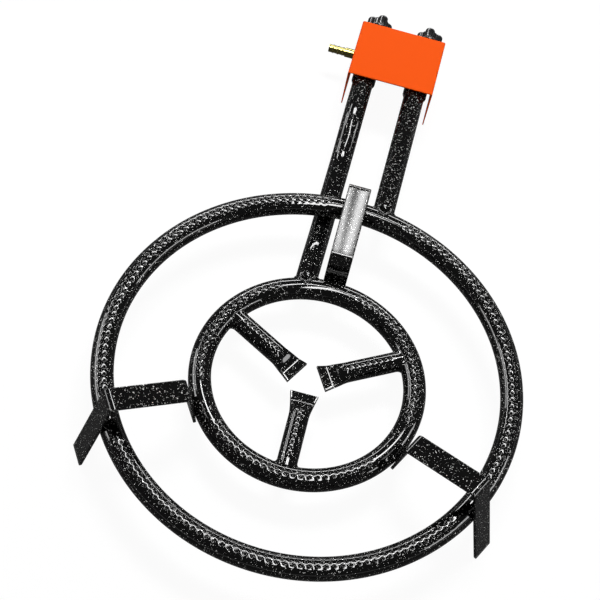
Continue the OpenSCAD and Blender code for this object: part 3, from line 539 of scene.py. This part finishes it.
stageLook = {"floor": (0.6, 0.6, 0.6, 1), "half": 12, "sky": 0.12, "wall": 1.0, "wallTop": 0.12,
             "glow": 0.88, "white": 1.08, "mirrored": 0.08}
half = stageLook["half"]
floorMesh = bpy.data.meshes.new("floor")
corners = [(-half, -half, 0), (half, -half, 0), (half, half, 0), (-half, half, 0)]
floorMesh.from_pydata(corners, [], [(0, 1, 2, 3)])
floor = bpy.data.objects.new("floor", floorMesh)
scene.collection.objects.link(floor)
floorMaterial, nodes, links, shader = newMaterial("white floor")
shader.inputs["Base Color"].default_value = stageLook["floor"]
shader.inputs["Roughness"].default_value = 1.0
shader.inputs["Specular IOR Level"].default_value = 0.0
glow = nodes.new("ShaderNodeEmission")
seen = nodes.new("ShaderNodeLightPath")
seenOrMirrored = nodes.new("ShaderNodeMath")
seenOrMirrored.operation = "MAXIMUM"
anySight = nodes.new("ShaderNodeMath")
anySight.operation = "MAXIMUM"
links.new(seen.outputs["Is Camera Ray"], seenOrMirrored.inputs[0])
links.new(seen.outputs["Is Glossy Ray"], seenOrMirrored.inputs[1])
links.new(seenOrMirrored.outputs[0], anySight.inputs[0])
links.new(seen.outputs["Is Transmission Ray"], anySight.inputs[1])
share = nodes.new("ShaderNodeMath")
share.operation = "MULTIPLY"
share.inputs[1].default_value = stageLook["glow"]
links.new(anySight.outputs[0], share.inputs[0])
strength = nodes.new("ShaderNodeMapRange")              # white to the camera, dark in reflections
strength.inputs["To Min"].default_value = stageLook["mirrored"]
strength.inputs["To Max"].default_value = stageLook["white"]
links.new(seen.outputs["Is Camera Ray"], strength.inputs["Value"])
links.new(strength.outputs[0], glow.inputs["Strength"])
mixFloor = nodes.new("ShaderNodeMixShader")
links.new(share.outputs[0], mixFloor.inputs[0])
links.new(shader.outputs[0], mixFloor.inputs[1])
links.new(glow.outputs[0], mixFloor.inputs[2])
links.new(mixFloor.outputs[0], nodes["Material Output"].inputs["Surface"])
floorMesh.materials.append(floorMaterial)

world = bpy.data.worlds.new("studio")
world.use_nodes = True
sky, skyLinks = world.node_tree.nodes, world.node_tree.links
sky["Background"].inputs["Color"].default_value = (1, 1, 1, 1)
lookUp = sky.new("ShaderNodeTexCoord")
height = sky.new("ShaderNodeSeparateXYZ")
skyLinks.new(lookUp.outputs["Generated"], height.inputs[0])
fade = sky.new("ShaderNodeMapRange")                   # pale walls round the foot of a darker sky
fade.inputs["From Min"].default_value = stageLook["wallTop"] / 2
fade.inputs["From Max"].default_value = stageLook["wallTop"]
fade.inputs["To Min"].default_value = stageLook["wall"]
fade.inputs["To Max"].default_value = stageLook["sky"]
skyLinks.new(height.outputs["Z"], fade.inputs["Value"])
skyLinks.new(fade.outputs[0], sky["Background"].inputs["Strength"])
scene.world = world

# lamps where the bright lines on the enamel point to: middle, size across and up in metres, watts;
# all but the key lamps are only mirrored, so that they don't change how light a colour looks
lampLooks = {
    "keyLeft": {"at": (-0.2, 0.7, 1.8), "size": (0.3, 0.36), "watts": 12.6},
    "keyRight": {"at": (0.2, 0.7, 1.8), "size": (0.34, 0.36), "watts": 14.4},
    "zenithLeft": {"at": (-0.0225, 0.42, 1.8), "size": (0.01, 0.18), "watts": 0.2},
    "zenithRight": {"at": (0.005, 0.42, 1.8), "size": (0.016, 0.18), "watts": 0.3},
    "frontStrip": {"at": (0.16, -0.28, 1.8), "size": (0.24, 1.05), "watts": 26.0},
    "backStrip": {"at": (-0.3, 2.3, 1.1), "size": (2.6, 0.32), "watts": 52.0},
    "leftHigh": {"at": (-1.55, 0.7, 1.25), "size": (1.1, 0.2), "watts": 12.0},
    "leftLow": {"at": (-1.85, 0.2, 0.7), "size": (1.5, 0.44), "watts": 20.0},
    "rightLow": {"at": (1.9, -0.1, 0.8), "size": (1.6, 0.4), "watts": 21.0},
}
for name, look in lampLooks.items():
    light = bpy.data.lights.new(name, "AREA")
    light.shape = "RECTANGLE"
    light.size, light.size_y = look["size"]
    light.energy = look["watts"]
    lamp = bpy.data.objects.new(name, light)
    lamp.visible_diffuse = name.startswith("key")
    place = Vector(look["at"])
    lamp.matrix_world = Matrix.Translation(place) @ place.to_track_quat("Z", "Y").to_matrix().to_4x4()
    scene.collection.objects.link(lamp)

# the view worked out from the outline of the outer ring
viewLook = {"elevation": 58.14, "roll": 13.35, "turn": 2.4, "across": -8.85, "up": 67.97, "back": 1416.01,
            "lens": 92.62, "sensor": 36, "ringR": 189.0}
camera = bpy.data.cameras.new("camera")
camera.lens = viewLook["lens"]
camera.sensor_width = viewLook["sensor"]
eye = bpy.data.objects.new("camera", camera)
aim = (Matrix.Rotation(math.radians(viewLook["turn"]), 4, "Z")
       @ Matrix.Rotation(math.radians(90 - viewLook["elevation"]), 4, "X")
       @ Matrix.Rotation(math.radians(viewLook["roll"]), 4, "Z"))
scaleR = outer["r"] / viewLook["ringR"]
offset = [viewLook[axis] * mm * scaleR for axis in ("across", "up", "back")]
eye.matrix_world = Matrix.Translation((0, 0, outer["z"] * mm)) @ (aim @ Matrix.Translation(offset))
scene.collection.objects.link(eye)
scene.camera = eye
print("stage, light and camera made")
